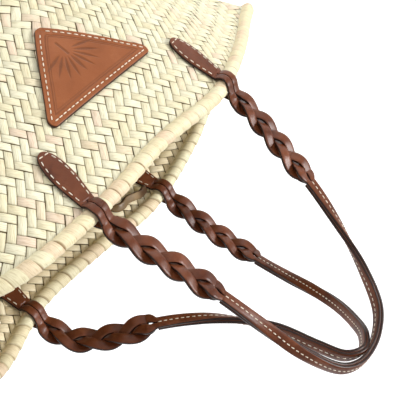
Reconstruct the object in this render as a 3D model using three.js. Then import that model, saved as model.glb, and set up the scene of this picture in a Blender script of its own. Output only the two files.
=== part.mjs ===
// Plaited palm leaf basket bag with two braided leather handles, modelled in millimetres with +Z up.
// The origin is the middle of the base, on the ground; the front of the bag faces -Y.

import * as THREE from "three";

// Basket
const BASKET_HEIGHT = 290;
const MOUTH_LENGTH = 507;
const MOUTH_DEPTH = 144;
const RIM_DROP = 49;
const BASE_LENGTH = 340;
const BASE_DEPTH = 134;
const BASE_SQUARENESS = 2.5;
const BASE_EDGE_RADIUS = 9;
const BELLY = 12;
const WALL = 3;
const ROLL_DIAMETER = 12;

// Leather
const LEATHER = 2.2;
const TAB_LENGTH = 55;
const TAB_WIDTH = 20;
const STRAND_WIDTH = 7;
const STRAP_WIDTH = 9.6;
const PATCH_WIDTH = 146;
const PATCH_HEIGHT = 69;
const PATCH_CORNER = 5;
const PATCH_DROP = 56.5;
const CLOSING_STRAP_WIDTH = 7;
const CLOSING_STRAP_REACH = 52;
const CLOSING_STRAP_DROP = 19;
const CLOSING_STRAP_SAG = 13;

// Handles
const HANDLE_SPACING = 186;
const HANDLE_RISE = 216;
const HANDLE_MEETING_DEPTH = -15;
const BRAID_END = 106;
const BRAID_WIDTH = 20;
const BRAID_SWING = 2.9;
const BRAID_CYCLES = 7 / 6;
const BRAID_TILT = 0.1;

// Rises at which the strands' loops over the roll have come back to the braid
const FRONT_LOOP_END = 15;
const REAR_LOOP_END = 24;

// Strands of a braid: seat and layer at the tab and at the strap, where a seat is -1 left, 0 middle or
// 1 right and a layer is 1 in front or -1 behind, and the phase at which the strand starts to plait.
const STRANDS = {
  1: { tabSeat: -1, tabLayer: 1, strapSeat: 0, strapLayer: -1, phase: 280 },
  2: { tabSeat: 1, tabLayer: 1, strapSeat: 1, strapLayer: 1, phase: 40 },
  3: { tabSeat: 0, tabLayer: -1, strapSeat: -1, strapLayer: 1, phase: 160 },
};

// The tabs end, and the strands start to plait, a little below and above the rim roll.
const TAB_CLEARANCE = 3.5;
const GATHER_CLEARANCE = 4;
const GATHER_LENGTH = 9;

// Share of a handle's length over which its strap makes its quarter turn
const TURN_SHARE = 0.42;

// Share of a layer's thickness taken by the bevel of its edge
const EDGE_BEVEL = 0.3;

// Clearances between touching pieces
const SEAM = 0.3;
const SEAT = 0.8;
const ROLL_SEAT = 1.8;

// Faceting
const BASKET_COLUMNS = 72;
const BASKET_LEVELS = 10;
const ROLL_SIDES = 8;
const STRAND_STEPS = 22;
const STRAP_STEPS = 36;
const CLOSING_STRAP_STEPS = 12;
const PATCH_COLUMNS = 6;

// Steps used to read a course: a share of a lap along the rim, a length along a handle
const LAP_STEP = 0.004;
const RISE_STEP = 0.4;

// Rim seen from above, one lap from the left end along the front and back along the rear.
// depth is a share of half the mouth's depth, drop a share of the rim's drop at its ends.
const RIM_STATIONS = [
  { lap: 0.0, depth: -0.3, drop: 1.0 },
  { lap: 0.04, depth: -0.37, drop: 0.93 },
  { lap: 0.072, depth: -0.4, drop: 0.81 },
  { lap: 0.112, depth: -0.54, drop: 0.55 },
  { lap: 0.144, depth: -0.72, drop: 0.32 },
  { lap: 0.176, depth: -0.87, drop: 0.08 },
  { lap: 0.202, depth: -0.91, drop: -0.06 },
  { lap: 0.25, depth: -0.92, drop: 0.0 },
  { lap: 0.298, depth: -0.88, drop: -0.08 },
  { lap: 0.356, depth: -0.84, drop: -0.03 },
  { lap: 0.392, depth: -0.65, drop: 0.25 },
  { lap: 0.428, depth: -0.43, drop: 0.61 },
  { lap: 0.46, depth: -0.33, drop: 0.85 },
  { lap: 0.5, depth: -0.2, drop: 0.97 },
  { lap: 0.54, depth: 0.02, drop: 0.75 },
  { lap: 0.572, depth: 0.25, drop: 0.45 },
  { lap: 0.608, depth: 0.66, drop: 0.1 },
  { lap: 0.644, depth: 0.96, drop: -0.13 },
  { lap: 0.702, depth: 1.1, drop: 0.22 },
  { lap: 0.75, depth: 1.08, drop: 0.17 },
  { lap: 0.798, depth: 1.06, drop: 0.06 },
  { lap: 0.856, depth: 0.88, drop: 0.32 },
  { lap: 0.892, depth: 0.56, drop: 0.6 },
  { lap: 0.928, depth: 0.17, drop: 0.83 },
  { lap: 0.96, depth: -0.1, drop: 0.95 },
];

// Wall from the base up: height is a share of the rim's height, reach the way from the base's
// outline to the rim's, belly a share of the outward bulge.
const WALL_STATIONS = [
  { height: 0.0, reach: 0.0, belly: 0.0 },
  { height: 0.1, reach: 0.09, belly: 0.35 },
  { height: 0.25, reach: 0.21, belly: 0.75 },
  { height: 0.45, reach: 0.36, belly: 1.0 },
  { height: 0.65, reach: 0.52, belly: 0.95 },
  { height: 0.82, reach: 0.7, belly: 0.55 },
  { height: 1.0, reach: 1.0, belly: 0.0 },
];

// Each side of each handle from the rim to the handle's top: across is a share of half the handle
// spacing, rise a share of the handle's rise, lean the way from the rim to where the handles meet.
const FRONT_LEFT_STATIONS = [
  { across: 1.04, rise: 0.0, lean: 0.0 },
  { across: 0.99, rise: 0.17, lean: 0.08 },
  { across: 0.88, rise: 0.34, lean: 0.14 },
  { across: 0.79, rise: 0.5, lean: 0.24 },
  { across: 0.7, rise: 0.66, lean: 0.44 },
  { across: 0.59, rise: 0.815, lean: 0.67 },
  { across: 0.43, rise: 0.94, lean: 0.88 },
  { across: 0.22, rise: 0.988, lean: 0.97 },
  { across: 0.0, rise: 1.0, lean: 1.0 },
];
const FRONT_RIGHT_STATIONS = [
  { across: 1.0, rise: 0.0, lean: 0.0 },
  { across: 0.95, rise: 0.17, lean: 0.06 },
  { across: 0.87, rise: 0.33, lean: 0.12 },
  { across: 0.79, rise: 0.49, lean: 0.23 },
  { across: 0.68, rise: 0.65, lean: 0.45 },
  { across: 0.55, rise: 0.81, lean: 0.68 },
  { across: 0.36, rise: 0.94, lean: 0.88 },
  { across: 0.18, rise: 0.986, lean: 0.97 },
  { across: 0.0, rise: 1.0, lean: 1.0 },
];
const BACK_LEFT_STATIONS = [
  { across: 1.0, rise: 0.0, lean: 0.0 },
  { across: 0.99, rise: 0.26, lean: 0.0 },
  { across: 1.0, rise: 0.39, lean: 0.02 },
  { across: 0.97, rise: 0.5, lean: 0.08 },
  { across: 0.89, rise: 0.625, lean: 0.22 },
  { across: 0.77, rise: 0.74, lean: 0.41 },
  { across: 0.61, rise: 0.845, lean: 0.61 },
  { across: 0.42, rise: 0.925, lean: 0.78 },
  { across: 0.2, rise: 0.98, lean: 0.94 },
  { across: 0.0, rise: 1.0, lean: 1.0 },
];
const BACK_RIGHT_STATIONS = [
  { across: 1.0, rise: 0.0, lean: 0.0 },
  { across: 0.96, rise: 0.165, lean: 0.02 },
  { across: 0.8, rise: 0.28, lean: 0.18 },
  { across: 0.59, rise: 0.37, lean: 0.37 },
  { across: 0.45, rise: 0.455, lean: 0.52 },
  { across: 0.35, rise: 0.545, lean: 0.66 },
  { across: 0.26, rise: 0.71, lean: 0.87 },
  { across: 0.22, rise: 0.865, lean: 0.96 },
  { across: 0.15, rise: 0.962, lean: 0.99 },
  { across: 0.0, rise: 1.0, lean: 1.0 },
];

// Leaf outline of a tab from its tip to its throat, both as shares of its length and width.
const TAB_STATIONS = [
  { along: 0.0, width: 0.16 },
  { along: 0.03, width: 0.42 },
  { along: 0.1, width: 0.68 },
  { along: 0.24, width: 0.9 },
  { along: 0.42, width: 1.0 },
  { along: 0.62, width: 0.97 },
  { along: 0.82, width: 0.84 },
  { along: 1.0, width: 0.72 },
];

// Closing strap from the back left tab into the mouth: along, inward and below are shares of the
// strap's reach, sag and drop.
const CLOSING_STRAP_STATIONS = [
  { along: 0.02, inward: 0.13, below: 0.66 },
  { along: 0.23, inward: 0.45, below: 0.6 },
  { along: 0.46, inward: 0.85, below: 0.66 },
  { along: 0.65, inward: 1.0, below: 0.72 },
  { along: 0.81, inward: 1.0, below: 0.63 },
  { along: 0.94, inward: 1.0, below: 0.69 },
  { along: 1.0, inward: 1.0, below: 1.0 },
];

// Rows of the patch from its top side to its tip, as shares of its height
const PATCH_ROWS = [0, 0.008, 0.03, 0.075, 0.129, 0.22, 0.33, 0.45, 0.57, 0.7, 0.83, 0.92, 0.98, 0.995];

const ROLL_RADIUS = ROLL_DIAMETER / 2;
const FRONT = new THREE.Vector3(0, -1, 0);
const UP = new THREE.Vector3(0, 0, 1);
const TAB_TOP = ROLL_RADIUS + TAB_CLEARANCE;
const GATHER_START = ROLL_RADIUS + GATHER_CLEARANCE;

const STRAW = new THREE.MeshStandardMaterial({ color: 0xf0e4bc, roughness: 0.75, metalness: 0 });
const ROLL_STRAW = new THREE.MeshStandardMaterial({ color: 0xf3e3bd, roughness: 0.7, metalness: 0 });
const BROWN = new THREE.MeshStandardMaterial({ color: 0x8a4a2d, roughness: 0.45, metalness: 0 });
const PATCH_BROWN = new THREE.MeshStandardMaterial({ color: 0x9c5a3b, roughness: 0.5, metalness: 0 });

function smoothstep(low, high, value) {
  const share = THREE.MathUtils.clamp((value - low) / (high - low), 0, 1);
  return share * share * (3 - 2 * share);
}

// Smooth reading between the rows of a table; a table with a period joins its last row to its first.
function read(rows, key, column, value, period = 0) {
  const count = rows.length;
  const at = (index) => {
    if (period) {
      const lap = Math.floor(index / count);
      const row = rows[index - lap * count];
      return [row[key] + lap * period, row[column]];
    }
    const row = rows[THREE.MathUtils.clamp(index, 0, count - 1)];
    return [row[key], row[column]];
  };
  let first = 0;
  while (first < count - (period ? 1 : 2) && at(first + 1)[0] < value) first += 1;
  const [x0, y0] = at(first - 1);
  const [x1, y1] = at(first);
  const [x2, y2] = at(first + 1);
  const [x3, y3] = at(first + 2);
  const span = x2 - x1;
  const slope1 = (y2 - y0) / (x2 - x0);
  const slope2 = (y3 - y1) / (x3 - x1);
  const t = (value - x1) / span;
  const t2 = t * t;
  const t3 = t2 * t;
  return (2 * t3 - 3 * t2 + 1) * y1 + (t3 - 2 * t2 + t) * span * slope1
    + (3 * t2 - 2 * t3) * y2 + (t3 - t2) * span * slope2;
}

// A closed surface from points and faces, turned so that its faces point outwards.
function closedGeometry(points, faces) {
  let volume = 0;
  for (let i = 0; i < faces.length; i += 3) {
    const [a, b, c] = [points[faces[i]], points[faces[i + 1]], points[faces[i + 2]]];
    volume += a.dot(b.clone().cross(c));
  }
  const geometry = new THREE.BufferGeometry().setFromPoints(points);
  geometry.setIndex(volume > 0 ? faces : [...faces].reverse());
  return geometry;
}

// A closed surface through rings of points, with a fan on the first and the last ring.
function loft(rings) {
  const size = rings[0].length;
  const points = rings.flat();
  const faces = [];
  for (let i = 0; i + 1 < rings.length; i += 1) {
    for (let j = 0; j < size; j += 1) {
      const a = i * size + j;
      const b = i * size + ((j + 1) % size);
      // Both faces of a flat piece split along the same diagonal, so that twisted layers stay parallel.
      if (j < size / 2) faces.push(a, b, b + size, a, b + size, a + size);
      else faces.push(a, b, a + size, b, b + size, a + size);
    }
  }
  for (const [ring, start, flip] of [[rings[0], 0, true], [rings.at(-1), (rings.length - 1) * size, false]]) {
    const middle = ring.reduce((sum, point) => sum.add(point), new THREE.Vector3()).divideScalar(size);
    const hub = points.push(middle) - 1;
    for (let j = 0; j < size; j += 1) {
      const a = start + j;
      const b = start + ((j + 1) % size);
      faces.push(...(flip ? [hub, b, a] : [hub, a, b]));
    }
  }
  return closedGeometry(points, faces);
}

function piece(name, geometry, material) {
  const mesh = new THREE.Mesh(geometry, material);
  mesh.name = name;
  return mesh;
}

// Basket surface

function rimPoint(lap) {
  const depth = read(RIM_STATIONS, "lap", "depth", lap, 1);
  const drop = read(RIM_STATIONS, "lap", "drop", lap, 1);
  return new THREE.Vector3(
    (-MOUTH_LENGTH / 2) * Math.cos(2 * Math.PI * lap),
    (MOUTH_DEPTH / 2) * depth,
    BASKET_HEIGHT - RIM_DROP * drop,
  );
}

function basePoint(lap) {
  const angle = 2 * Math.PI * lap;
  const power = 2 / BASE_SQUARENESS;
  const across = -Math.sign(Math.cos(angle)) * Math.abs(Math.cos(angle)) ** power;
  const depth = -Math.sign(Math.sin(angle)) * Math.abs(Math.sin(angle)) ** power;
  return new THREE.Vector3((BASE_LENGTH / 2) * across, (BASE_DEPTH / 2) * depth, 0);
}

function rimCourse(lap) {
  return rimPoint(lap + LAP_STEP).sub(rimPoint(lap - LAP_STEP)).normalize();
}

// A horizontal direction out of the basket, square to the rim's course.
function outward(lap) {
  const course = rimCourse(lap).setZ(0).normalize();
  return new THREE.Vector3(course.y, -course.x, 0);
}

// The middle of the wall at a share of the rim's height.
function wallPoint(lap, height) {
  const rim = rimPoint(lap);
  const base = basePoint(lap);
  const reach = read(WALL_STATIONS, "height", "reach", height);
  const belly = read(WALL_STATIONS, "height", "belly", height) * Math.abs(Math.sin(2 * Math.PI * lap));
  const point = base.lerp(rim, reach).addScaledVector(outward(lap), BELLY * belly);
  return point.setZ(rim.z * height);
}

function basket() {
  const laps = Array.from({ length: BASKET_COLUMNS }, (_, i) => i / BASKET_COLUMNS);
  const lowest = (lap) => (BASE_EDGE_RADIUS + WALL) / rimPoint(lap).z;
  // The topmost ring ends just below the rim roll, in the direction in which the wall falls from it.
  const ring = (level, side) => laps.map((lap) => {
    const along = level / (BASKET_LEVELS - 1);
    const point = wallPoint(lap, THREE.MathUtils.lerp(lowest(lap), 1, along));
    if (level === BASKET_LEVELS - 1) {
      const course = rimCourse(lap);
      const fall = hangPoint(lap, ROLL_DIAMETER).sub(point);
      fall.addScaledVector(course, -fall.dot(course)).normalize();
      point.addScaledVector(fall, ROLL_RADIUS + SEAT);
    }
    return point.addScaledVector(outward(lap), (side * WALL) / 2);
  });
  const foot = (height, inset, side) => laps.map((lap) => {
    const point = wallPoint(lap, lowest(lap)).addScaledVector(outward(lap), (side * WALL) / 2 - inset);
    return point.setZ(height);
  });
  const ease = BASE_EDGE_RADIUS * (1 - Math.SQRT1_2);
  const rings = [foot(WALL, BASE_EDGE_RADIUS, -1), foot(WALL + ease, ease, -1)];
  for (let level = 0; level < BASKET_LEVELS; level += 1) rings.push(ring(level, -1));
  for (let level = BASKET_LEVELS - 1; level >= 0; level -= 1) rings.push(ring(level, 1));
  rings.push(foot(ease, ease, 1), foot(0, BASE_EDGE_RADIUS, 1));
  return piece("basket_body", loft(rings), STRAW);
}

function rimRoll() {
  const rings = [];
  for (let i = 0; i < BASKET_COLUMNS; i += 1) {
    const lap = i / BASKET_COLUMNS;
    const side = outward(lap);
    const top = new THREE.Vector3().crossVectors(side, rimCourse(lap)).normalize();
    rings.push(Array.from({ length: ROLL_SIDES }, (_, j) => {
      const turn = (2 * Math.PI * (j + 0.5)) / ROLL_SIDES;
      return rimPoint(lap)
        .addScaledVector(side, ROLL_RADIUS * Math.cos(turn))
        .addScaledVector(top, ROLL_RADIUS * Math.sin(turn));
    }));
  }
  const points = rings.flat();
  const faces = [];
  for (let i = 0; i < BASKET_COLUMNS; i += 1) {
    for (let j = 0; j < ROLL_SIDES; j += 1) {
      const next = (i + 1) % BASKET_COLUMNS;
      const beside = (j + 1) % ROLL_SIDES;
      const a = i * ROLL_SIDES + j;
      const b = i * ROLL_SIDES + beside;
      const c = next * ROLL_SIDES + beside;
      const d = next * ROLL_SIDES + j;
      faces.push(a, b, c, a, c, d);
    }
  }
  return piece("rim_roll", closedGeometry(points, faces), ROLL_STRAW);
}

// The lap at which the front or the back rim passes a place across the bag.
function lapAt(across, isBack) {
  const turn = Math.acos(THREE.MathUtils.clamp((-2 * across) / MOUTH_LENGTH, -1, 1)) / (2 * Math.PI);
  return isBack ? 1 - turn : turn;
}

// A point on the wall's middle, a distance below the rim.
function hangPoint(lap, below) {
  return wallPoint(lap, 1 - below / rimPoint(lap).z);
}

// Handles

// The lap at which one side of a handle crosses the rim.
function footLap(handle, side) {
  const rows = side < 0 ? handle.leftStations : handle.rightStations;
  return lapAt((side * rows[0].across * HANDLE_SPACING) / 2, handle.isBack);
}

function handleCurve(handle) {
  const top = BASKET_HEIGHT + HANDLE_RISE - (handle.isBack ? 2 * LEATHER + 3 * SEAM : 0);
  const leg = (rows, side) => {
    const foot = rimPoint(footLap(handle, side));
    return rows.map(({ across, rise, lean }) => new THREE.Vector3(
      (side * across * HANDLE_SPACING) / 2,
      THREE.MathUtils.lerp(foot.y, HANDLE_MEETING_DEPTH, lean),
      THREE.MathUtils.lerp(foot.z, top, rise),
    ));
  };
  const left = leg(handle.leftStations, -1);
  const right = leg(handle.rightStations, 1).slice(0, -1).reverse();
  const curve = new THREE.CatmullRomCurve3([...left, ...right], false, "centripetal");
  curve.arcLengthDivisions = 600;
  return curve;
}

// A place along one end of a handle: below the rim it follows the wall, above it the handle's curve.
function endSpine(handle, side) {
  const lap = footLap(handle, side);
  const wallFace = outward(lap).multiplyScalar(handle.isBack ? -1 : 1);
  const length = handle.curve.getLength();
  return (rise) => {
    const face = wallFace.clone().lerp(FRONT, smoothstep(0, BRAID_END, rise)).normalize();
    if (rise <= 0) return { point: hangPoint(lap, -rise), face };
    const share = side < 0 ? rise / length : 1 - rise / length;
    return { point: handle.curve.getPointAt(share), face };
  };
}

// Turns a spine into places with a course, a face direction and a width direction, each square to the others.
function frameAt(spine, rise) {
  const { point, face } = spine(rise);
  const course = spine(rise + RISE_STEP).point.sub(spine(rise - RISE_STEP).point).normalize();
  const normal = face.clone().addScaledVector(course, -face.dot(course)).normalize();
  const across = new THREE.Vector3().crossVectors(course, normal).negate();
  return { point, course, normal, across };
}

// How far a leather layer's middle lies from the spine: on the wall, over the roll, or on its twin.
// Where the roll takes over, the layer stands off a little more, as stiff leather does.
function standOff(rise) {
  const onWall = WALL / 2 + SEAT + LEATHER / 2;
  const onTwin = (LEATHER + SEAM) / 2;
  const rest = THREE.MathUtils.lerp(onWall, onTwin, smoothstep(-ROLL_RADIUS, ROLL_RADIUS, rise));
  const radius = ROLL_RADIUS + ROLL_SEAT + LEATHER / 2;
  const arc = Math.sqrt(Math.max(radius * radius - rise * rise, 0));
  return Math.hypot(Math.max(rest, arc), Math.min(rest, arc) / 3);
}

function barSection(width, thickness) {
  const bevel = Math.min(thickness, width) * EDGE_BEVEL;
  const x = width / 2;
  const z = thickness / 2;
  return [
    [x, 0],
    [x - bevel, z],
    [-x + bevel, z],
    [-x, 0],
    [-x + bevel, -z],
    [x - bevel, -z],
  ];
}

// Loft of bar sections; each place has a point, an across and a normal direction, a width and a thickness.
function bar(places) {
  return loft(places.map(({ point, across, normal, width, thickness }) => (
    barSection(width, thickness).map(([x, z]) => (
      point.clone().addScaledVector(across, x).addScaledVector(normal, z)
    ))
  )));
}

function layerPlace(spine, rise, layer, sideways = 0) {
  const place = (at) => {
    const frame = frameAt(spine, at);
    return frame.point.addScaledVector(frame.normal, layer * standOff(at)).addScaledVector(frame.across, sideways);
  };
  const { normal: face } = frameAt(spine, rise);
  const course = place(rise + RISE_STEP).sub(place(rise - RISE_STEP)).normalize();
  const normal = face.clone().addScaledVector(course, -face.dot(course)).normalize();
  const across = new THREE.Vector3().crossVectors(course, normal).negate();
  return { point: place(rise), across, normal };
}

function tab(handle, side, layer) {
  const spine = endSpine(handle, side);
  const length = TAB_LENGTH - TAB_TOP;
  const places = TAB_STATIONS.map(({ along, width }) => ({
    ...layerPlace(spine, -TAB_LENGTH + along * length, layer),
    width: width * TAB_WIDTH,
    thickness: LEATHER,
  }));
  return bar(places);
}

// One strand of a braid, from its tab over the roll and up the plait to the strap.
function strand(handle, side, number) {
  const spine = endSpine(handle, side);
  const ends = STRANDS[number];
  const tabSeat = (ends.tabSeat * (STRAND_WIDTH + SEAM)) / 2;
  const strapSeat = (ends.strapSeat * (STRAP_WIDTH + SEAM)) / 4;
  const firstPhase = THREE.MathUtils.degToRad(ends.phase);
  const amplitude = (BRAID_WIDTH - STRAND_WIDTH) / 2;
  const plaitStart = GATHER_START + GATHER_LENGTH;
  const plaitEnd = BRAID_END - GATHER_LENGTH;
  const plait = (rise) => {
    const share = THREE.MathUtils.clamp((rise - plaitStart) / (plaitEnd - plaitStart), 0, 1);
    const phase = firstPhase + 2 * Math.PI * BRAID_CYCLES * share;
    return {
      x: amplitude * Math.sin(phase),
      z: BRAID_SWING * Math.sin(2 * phase),
      tilt: BRAID_TILT * Math.cos(phase),
    };
  };
  // Past the rim the strand leaves the roll in a loop, which is longer behind than in front.
  const loopEnd = ends.tabLayer > 0 ? FRONT_LOOP_END : REAR_LOOP_END;
  const loopOff = (rise) => {
    if (rise <= 0) return standOff(rise);
    return Math.max(standOff(rise), standOff(0) * (1 - smoothstep(0, loopEnd, rise)));
  };
  const place = (rise) => {
    const frame = frameAt(spine, rise);
    const into = (rise - GATHER_START) / GATHER_LENGTH;
    const out = (rise - plaitEnd) / GATHER_LENGTH;
    const braid = plait(rise);
    let x = THREE.MathUtils.lerp(tabSeat, braid.x, smoothstep(0, 0.7, into));
    let z = THREE.MathUtils.lerp(ends.tabLayer * loopOff(rise), braid.z, smoothstep(0.3, 1, into));
    x = THREE.MathUtils.lerp(x, strapSeat, smoothstep(0.2, 1, out));
    z = THREE.MathUtils.lerp(z, (ends.strapLayer * (LEATHER + SEAM)) / 2, smoothstep(0, 0.85, out));
    const tilt = braid.tilt * smoothstep(0, 1, into) * (1 - smoothstep(0, 1, out));
    const point = frame.point.addScaledVector(frame.across, x).addScaledVector(frame.normal, z);
    return { frame, tilt, point };
  };
  const stops = [-TAB_TOP + SEAM];
  for (const share of [-1, -0.5, 0, 0.5, 1]) stops.push(share * ROLL_RADIUS);
  for (let i = 0; i <= STRAND_STEPS; i += 1) {
    stops.push(THREE.MathUtils.lerp(GATHER_START, BRAID_END - 3 * SEAM, i / STRAND_STEPS));
  }
  return bar(stops.map((rise) => {
    const { frame, tilt, point } = place(rise);
    const course = place(rise + RISE_STEP).point.sub(place(rise - RISE_STEP).point).normalize();
    const lean = frame.normal.clone().addScaledVector(frame.across, -tilt);
    const normal = lean.addScaledVector(course, -lean.dot(course)).normalize();
    const across = new THREE.Vector3().crossVectors(course, normal).negate();
    const narrow = smoothstep(0, 1, (rise - plaitEnd) / GATHER_LENGTH);
    const width = THREE.MathUtils.lerp(STRAND_WIDTH, (STRAP_WIDTH - SEAM) / 2, narrow);
    return { point, across, normal, width, thickness: LEATHER };
  }));
}

// One leather layer of the strap, which turns a quarter so that it lies flat over the top.
function strapLayer(handle, layer) {
  const length = handle.curve.getLength();
  const places = [];
  for (let i = 0; i <= STRAP_STEPS; i += 1) {
    const run = THREE.MathUtils.lerp(BRAID_END, length - BRAID_END, i / STRAP_STEPS);
    const course = handle.curve.getTangentAt(run / length);
    const fromEnd = Math.min(run, length - run);
    const quarter = (Math.PI / 2) * smoothstep(BRAID_END, length * TURN_SHARE, fromEnd);
    const face = FRONT.clone().addScaledVector(course, -FRONT.dot(course)).normalize();
    const outside = new THREE.Vector3().crossVectors(face, course).multiplyScalar(handle.twist);
    const normal = face.multiplyScalar(Math.cos(quarter)).addScaledVector(outside, Math.sin(quarter)).normalize();
    const across = new THREE.Vector3().crossVectors(course, normal).negate();
    const point = handle.curve.getPointAt(run / length).addScaledVector(normal, (layer * (LEATHER + SEAM)) / 2);
    places.push({ point, across, normal, width: STRAP_WIDTH, thickness: LEATHER });
  }
  return bar(places);
}

function handlePieces(handle) {
  const layerNames = handle.isBack ? { 1: "inner", "-1": "outer" } : { 1: "outer", "-1": "inner" };
  const pieces = [];
  for (const layer of [1, -1]) {
    pieces.push(piece(`${handle.name}_${layerNames[layer]}_strap`, strapLayer(handle, layer), BROWN));
  }
  for (const [sideName, side] of [["left", -1], ["right", 1]]) {
    for (const layer of [1, -1]) {
      pieces.push(piece(`${handle.name}_${sideName}_${layerNames[layer]}_tab`, tab(handle, side, layer), BROWN));
    }
    for (const number of [1, 2, 3]) {
      pieces.push(piece(`${handle.name}_${sideName}_strand_${number}`, strand(handle, side, number), BROWN));
    }
  }
  return pieces;
}

// Front patch: an inverted triangle with round corners that bends with the wall; its rows are level.
function patch() {
  const slope = PATCH_WIDTH / 2 / PATCH_HEIGHT;
  const slant = Math.hypot(1, slope);
  const cornerX = (PATCH_WIDTH / 2) * (1 - PATCH_CORNER / PATCH_HEIGHT) - PATCH_CORNER * slant;
  const tipDepth = PATCH_HEIGHT * (1 - (PATCH_CORNER * slant) / (PATCH_WIDTH / 2));
  // How far past a corner's centre its arc runs before it meets the slanted side.
  const arcReach = (PATCH_CORNER * slope) / slant;
  const arc = (past) => Math.sqrt(Math.max(PATCH_CORNER ** 2 - past ** 2, 0));
  const halfWidth = (down) => {
    if (down < PATCH_CORNER + arcReach) return cornerX + arc(down - PATCH_CORNER);
    if (down > tipDepth + arcReach) return arc(down - tipDepth);
    return (PATCH_WIDTH / 2) * (1 - down / PATCH_HEIGHT);
  };
  const height = tipDepth + PATCH_CORNER;
  const rings = PATCH_ROWS.map((share) => {
    const down = share * height;
    const reach = halfWidth(down);
    const row = (side) => Array.from({ length: PATCH_COLUMNS + 1 }, (_, i) => {
      const lap = lapAt(THREE.MathUtils.lerp(-reach, reach, i / PATCH_COLUMNS), false);
      const stand = WALL / 2 + SEAT + (side > 0 ? LEATHER : 0);
      const below = rimPoint(lap).z - BASKET_HEIGHT + PATCH_DROP + down;
      return hangPoint(lap, below).addScaledVector(outward(lap), stand);
    });
    return [...row(1), ...row(-1).reverse()];
  });
  return piece("front_patch", loft(rings.reverse()), PATCH_BROWN);
}

// The closing strap hangs inside the mouth from the right edge of the back handle's left tab.
function closingStrap() {
  const start = -HANDLE_SPACING / 2 + TAB_WIDTH / 2;
  const points = CLOSING_STRAP_STATIONS.map(({ along, inward, below }) => {
    const lap = lapAt(start + along * CLOSING_STRAP_REACH, true);
    const stand = WALL / 2 + LEATHER / 2 + SEAM + inward * CLOSING_STRAP_SAG;
    return hangPoint(lap, below * CLOSING_STRAP_DROP).addScaledVector(outward(lap), -stand);
  });
  const curve = new THREE.CatmullRomCurve3(points, false, "centripetal");
  const face = new THREE.Vector3().addVectors(FRONT, UP).normalize();
  const places = Array.from({ length: CLOSING_STRAP_STEPS + 1 }, (_, i) => {
    const course = curve.getTangentAt(i / CLOSING_STRAP_STEPS);
    const normal = face.clone().addScaledVector(course, -face.dot(course)).normalize();
    const across = new THREE.Vector3().crossVectors(course, normal).negate();
    const point = curve.getPointAt(i / CLOSING_STRAP_STEPS);
    return { point, across, normal, width: CLOSING_STRAP_WIDTH, thickness: LEATHER };
  });
  return piece("closing_strap", bar(places), BROWN);
}

const handles = [
  {
    name: "front_handle",
    isBack: false,
    twist: 1,
    leftStations: FRONT_LEFT_STATIONS,
    rightStations: FRONT_RIGHT_STATIONS,
  },
  {
    name: "back_handle",
    isBack: true,
    twist: -1,
    leftStations: BACK_LEFT_STATIONS,
    rightStations: BACK_RIGHT_STATIONS,
  },
];

const bag = new THREE.Group();
bag.add(basket(), rimRoll(), patch(), closingStrap());
for (const handle of handles) {
  handle.curve = handleCurve(handle);
  bag.add(...handlePieces(handle));
}

export default bag;
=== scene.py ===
"""Plaited palm leaf basket bag with braided leather handles: its looks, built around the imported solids."""

import bpy
import numpy as np
from mathutils import Matrix


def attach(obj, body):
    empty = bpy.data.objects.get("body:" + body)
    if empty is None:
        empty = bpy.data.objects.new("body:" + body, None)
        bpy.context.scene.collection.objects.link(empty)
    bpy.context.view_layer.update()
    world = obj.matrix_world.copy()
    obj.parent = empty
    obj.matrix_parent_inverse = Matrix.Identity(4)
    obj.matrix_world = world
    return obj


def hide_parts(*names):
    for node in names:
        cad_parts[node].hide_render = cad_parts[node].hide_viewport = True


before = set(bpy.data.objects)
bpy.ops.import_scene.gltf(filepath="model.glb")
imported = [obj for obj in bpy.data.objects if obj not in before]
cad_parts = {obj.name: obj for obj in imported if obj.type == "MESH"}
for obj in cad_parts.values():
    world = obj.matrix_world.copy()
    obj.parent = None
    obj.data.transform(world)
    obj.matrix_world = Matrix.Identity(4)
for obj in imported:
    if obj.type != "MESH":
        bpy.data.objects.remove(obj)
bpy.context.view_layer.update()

# Every size is in millimetres and becomes metres where a mesh is made.
METRES = 0.001
BODY = "root"

# Basket
BASKET_HEIGHT = 290.0
MOUTH_LENGTH = 507.0
MOUTH_DEPTH = 144.0
RIM_DROP = 49.0
BASE_LENGTH = 340.0
BASE_DEPTH = 134.0
BASE_SQUARENESS = 2.5
BASE_EDGE_RADIUS = 9.0
BELLY = 12.0
WALL = 3.0
ROLL_RADIUS = 6.0

# Leather
LEATHER = 2.2
TAB_LENGTH = 55.0
TAB_WIDTH = 20.0
STRAND_WIDTH = 7.0
STRAP_WIDTH = 9.6
PATCH_WIDTH = 146.0
PATCH_HEIGHT = 69.0
PATCH_CORNER = 5.0
PATCH_DROP = 56.5
CLOSING_STRAP_WIDTH = 7.0
CLOSING_STRAP_REACH = 52.0
CLOSING_STRAP_DROP = 19.0
CLOSING_STRAP_SAG = 13.0

# Handles
HANDLE_SPACING = 186.0
HANDLE_RISE = 216.0
HANDLE_MEETING_DEPTH = -15.0
BRAID_END = 106.0
BRAID_WIDTH = 20.0
BRAID_SWING = 2.9
BRAID_CYCLES = 7 / 6
BRAID_TILT = 0.1
FRONT_LOOP_END = 15.0
REAR_LOOP_END = 24.0
# Strands: seat and layer at the tab, seat and layer at the strap, and the phase in degrees at which the
# plait starts.
STRANDS = {1: (-1, 1, 0, -1, 280.0), 2: (1, 1, 1, 1, 40.0), 3: (0, -1, -1, 1, 160.0)}
TURN_SHARE = 0.42
TAB_TOP = ROLL_RADIUS + 3.5
GATHER_START = ROLL_RADIUS + 4.0
GATHER_LENGTH = 9.0

# Clearances of the solids
SEAM = 0.3
SEAT = 0.8
ROLL_SEAT = 1.0

# Plait: a float is one visible length of leaf, and the wales are its rows up the wall.
FLOATS_AROUND = 116
WALES = 29
CORE_HALF = 0.6
LEAF_LIFT = 1.1
WRAPS = 104
WRAP_STARTS = 1

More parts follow.
